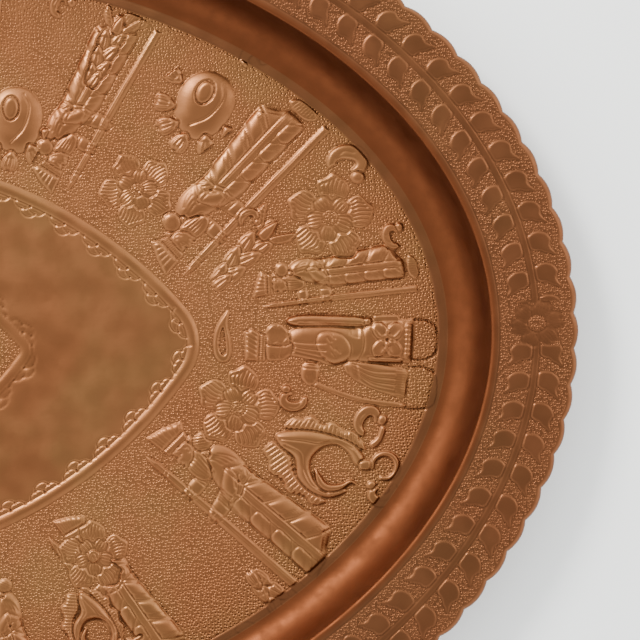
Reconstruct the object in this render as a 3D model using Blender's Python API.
"""Oval hammered copper tray: one raised sheet with a scalloped, turned-down edge,
and a strap soldered under its flange that holds a ring to hang it by.

The tray lies flat, face up. X runs along its length, Y across it and Z up, and the
origin is under its middle, on the surface that it lies on.
"""

import math

import bmesh
import bpy
import numpy as np

MM = 0.001

# Driving dimensions, in millimetres.
HALF_LENGTH = 305.0  # of the edge, to the tips of its lobes
HALF_WIDTH = 213.0
HEIGHT = 24.0  # from the surface that it lies on to the top of the flange
SHEET = 1.2  # thickness of the copper
LOBES = 112
LOBE_DEPTH = 1.6  # from a lobe's tip in to the cusps beside it
SKIRT = 5.2  # how far the turned-down edge hangs under the flange's top
EDGE_BEND = 2.6  # outer radius where the flange turns down
FLANGE_WIDTH = 35.7  # from the edge in to the top of the wall
WALL_WIDTH = 16.0  # from there in to the wall's foot
WALL_BEND = 1.8  # radius where the flange turns into the wall

STRAP_THICK = 1.0
STRAP_WIDTH = 6.0
STRAP_REACH = 9.0  # from the loop's middle to the end of each soldered wing
STRAP_BEND = 1.2  # radius of the strap's middle line where the wings turn into the loop
LOOP_RADIUS = 1.7  # inside the loop that the ring turns in
LOOP_INSET = 24.0  # from the edge in to the loop's middle
LOOP_DROP = 2.5  # from the flange's underside to the loop's middle

RING_RADIUS = 8.0  # of the middle of the ring's wire
WIRE_RADIUS = 1.0
CLEARANCE = 0.3  # between pieces that touch

# How finely the round shapes are cut.
STEPS_PER_LOBE = 3
WALL_STEPS = 5
OUTLINE_SAMPLES = 20000
LOOP_STEPS = 10
BEND_STEPS = 3
RING_STEPS = 32
WIRE_STEPS = 10

COPPER = (0.62, 0.26, 0.125)
SOLDERED_COPPER = (0.45, 0.20, 0.10)
BRASS_WIRE = (0.60, 0.40, 0.14)


def clear_scene():
    for thing in list(bpy.data.objects):
        bpy.data.objects.remove(thing, do_unlink=True)


def metal(name, colour, roughness):
    material = bpy.data.materials.new(name)
    material.use_nodes = True
    shader = material.node_tree.nodes["Principled BSDF"]
    shader.inputs["Base Color"].default_value = (*colour, 1.0)
    shader.inputs["Metallic"].default_value = 1.0
    shader.inputs["Roughness"].default_value = roughness
    return material


def finished_object(name, bm, material, location=(0.0, 0.0, 0.0), smooth_angle=30.0):
    bmesh.ops.recalc_face_normals(bm, faces=bm.faces)
    mesh = bpy.data.meshes.new(name)
    bm.to_mesh(mesh)
    bm.free()
    mesh.materials.append(material)
    mesh.shade_smooth()
    mesh.set_sharp_from_angle(angle=math.radians(smooth_angle))
    piece = bpy.data.objects.new(name, mesh)
    piece.location = location
    bpy.context.collection.objects.link(piece)
    return piece


# The tray sheet


def oval(count):
    """count points at equal steps along the edge's oval, from +X, and its outward normals."""
    turn = np.linspace(0.0, 2.0 * math.pi, OUTLINE_SAMPLES + 1)
    x, y = HALF_LENGTH * np.cos(turn), HALF_WIDTH * np.sin(turn)
    run = np.concatenate([[0.0], np.cumsum(np.hypot(np.diff(x), np.diff(y)))])
    at = np.interp(np.linspace(0.0, run[-1], count, endpoint=False), run, turn)
    points = np.stack([HALF_LENGTH * np.cos(at), HALF_WIDTH * np.sin(at)], axis=1)
    normals = np.stack([HALF_WIDTH * np.cos(at), HALF_LENGTH * np.sin(at)], axis=1)
    return points, normals / np.linalg.norm(normals, axis=1, keepdims=True)


def ring_of_points(bm, inset, z, steps_per_lobe, lobed):
    """Vertices all the way round, inset from the oval. lobed is 1 where the lobes are full."""
    points, normals = oval(LOBES * steps_per_lobe)
    along = (np.arange(len(points)) % steps_per_lobe) / steps_per_lobe
    cusp = LOBE_DEPTH * (1.0 - 4.0 * along * (1.0 - along)) * lobed
    placed = (points - normals * (inset + cusp)[:, None]) * MM
    return [bm.verts.new((x, y, z * MM)) for x, y in placed]


def wall_section():
    """(inset, z) down the wall's upper face, as a hollow quarter oval below a short bend."""
    top = FLANGE_WIDTH
    section = [(top - WALL_BEND, HEIGHT)]
    for step in range(WALL_STEPS + 1):
        turn = math.radians(8.0) + (math.pi / 2 - math.radians(8.0)) * step / WALL_STEPS
        inset = top + WALL_WIDTH * (1.0 - math.cos(turn))
        section.append((inset, HEIGHT - (HEIGHT - SHEET) * math.sin(turn)))
    return section


def moved_under(section):
    """The section's other face, one sheet thickness under it."""
    path = np.array(section)
    along = np.gradient(path, axis=0)
    along[0] = (1.0, 0.0)
    along[-1] = (1.0, 0.0)
    along /= np.linalg.norm(along, axis=1, keepdims=True)
    under = np.stack([along[:, 1], -along[:, 0]], axis=1)
    return [tuple(point) for point in path + SHEET * under]


def join_rings(bm, outer, inner):
    """Faces between two rings, where the outer one may have more points."""
    each = len(outer) // len(inner)
    for i, corner in enumerate(inner):
        run = [outer[(i * each + k) % len(outer)] for k in range(each + 1)]
        bm.faces.new(run + [inner[(i + 1) % len(inner)], corner])


def tray_sheet(material):
    bm = bmesh.new()
    fine = STEPS_PER_LOBE
    foot = HEIGHT - SKIRT
    upper_edge = [(0.4, foot, 1.0), (0.0, HEIGHT - EDGE_BEND, 1.0), (EDGE_BEND, HEIGHT, 0.8)]
    inside = EDGE_BEND - SHEET
    under = HEIGHT - SHEET
    lower_edge = [(SHEET + 0.4, foot, 1.0), (SHEET, under - inside, 1.0), (EDGE_BEND, under, 0.8)]
    flange_start = EDGE_BEND + LOBE_DEPTH + 2.0

    def face(edge, section, z):
        rings = [ring_of_points(bm, inset, high, fine, lobed) for inset, high, lobed in edge]
        rings.append(ring_of_points(bm, flange_start, z, 1, 0.0))
        rings += [ring_of_points(bm, inset, high, 1, 0.0) for inset, high in section]
        for outer, inner in zip(rings, rings[1:]):
            join_rings(bm, outer, inner)
        bm.faces.new(rings[-1])
        return rings[0]

    section = wall_section()
    upper = face(upper_edge, section, HEIGHT)
    lower = face(lower_edge, moved_under(section), under)
    join_rings(bm, upper, lower)
    return finished_object("tray_sheet", bm, material)


# The hanger


def loop_place():
    """Where the ring turns: under the flange, at the middle of one long side."""
    return (0.0, (HALF_WIDTH - LOOP_INSET) * MM, (HEIGHT - SHEET - LOOP_DROP) * MM)


def arc(centre, radius, start, end, steps):
    turns = [math.radians(start + (end - start) * i / steps) for i in range(steps + 1)]
    return [(centre[0] + radius * math.cos(t), centre[1] + radius * math.sin(t)) for t in turns]


def strap_line():
    """The strap's middle line across its loop, as (y, z) from the loop's middle."""
    loop = LOOP_RADIUS + STRAP_THICK / 2
    wing = LOOP_DROP - CLEARANCE - STRAP_THICK / 2
    bend = (loop + STRAP_BEND, wing - STRAP_BEND)
    left = [(-STRAP_REACH, wing)] + arc((-bend[0], bend[1]), STRAP_BEND, 90, 0, BEND_STEPS)
    below = arc((0.0, 0.0), loop, 180, 360, LOOP_STEPS)
    right = arc(bend, STRAP_BEND, 180, 90, BEND_STEPS) + [(STRAP_REACH, wing)]
    return left + below + right


def hanger_strap(material):
    path = np.array(strap_line())
    steps = np.diff(path, axis=0)
    steps /= np.linalg.norm(steps, axis=1, keepdims=True)
    along = np.vstack([steps[:1], steps[:-1] + steps[1:], steps[-1:]])
    along /= np.linalg.norm(along, axis=1, keepdims=True)
    side = np.stack([-along[:, 1], along[:, 0]], axis=1) * STRAP_THICK / 2
    outline = np.vstack([path + side, (path - side)[::-1]])
    bm = bmesh.new()
    corners = [bm.verts.new((-STRAP_WIDTH / 2 * MM, y * MM, z * MM)) for y, z in outline]
    end = bm.faces.new(corners)
    grown = bmesh.ops.extrude_face_region(bm, geom=[end])["geom"]
    moved = [v for v in grown if isinstance(v, bmesh.types.BMVert)]
    bmesh.ops.translate(bm, vec=(STRAP_WIDTH * MM, 0.0, 0.0), verts=moved)
    return finished_object("hanger_strap", bm, material, loop_place())


def hanging_ring(material):
    """The ring hangs from the loop, its origin on the line that it turns about."""
    chord = STRAP_WIDTH / 2
    rise = (RING_RADIUS - math.sqrt(RING_RADIUS**2 - chord**2)) / 2
    bm = bmesh.new()
    rings = []
    for i in range(RING_STEPS):
        turn = 2.0 * math.pi * (i + 0.5) / RING_STEPS
        wire = []
        for k in range(WIRE_STEPS):
            around = 2.0 * math.pi * k / WIRE_STEPS
            reach = RING_RADIUS + WIRE_RADIUS * math.cos(around)
            x, z = reach * math.sin(turn), reach * math.cos(turn) - RING_RADIUS + rise
            wire.append(bm.verts.new((x * MM, WIRE_RADIUS * math.sin(around) * MM, z * MM)))
        rings.append(wire)
    for wire, following in zip(rings, rings[1:] + rings[:1]):
        join_rings(bm, wire, following)
    return finished_object("hanging_ring", bm, material, loop_place(), smooth_angle=50.0)


def main():
    clear_scene()
    tray_sheet(metal("hammered_copper", COPPER, 0.38))
    hanger_strap(metal("soldered_copper_strip", SOLDERED_COPPER, 0.45))
    hanging_ring(metal("brass_wire", BRASS_WIRE, 0.35))


main()
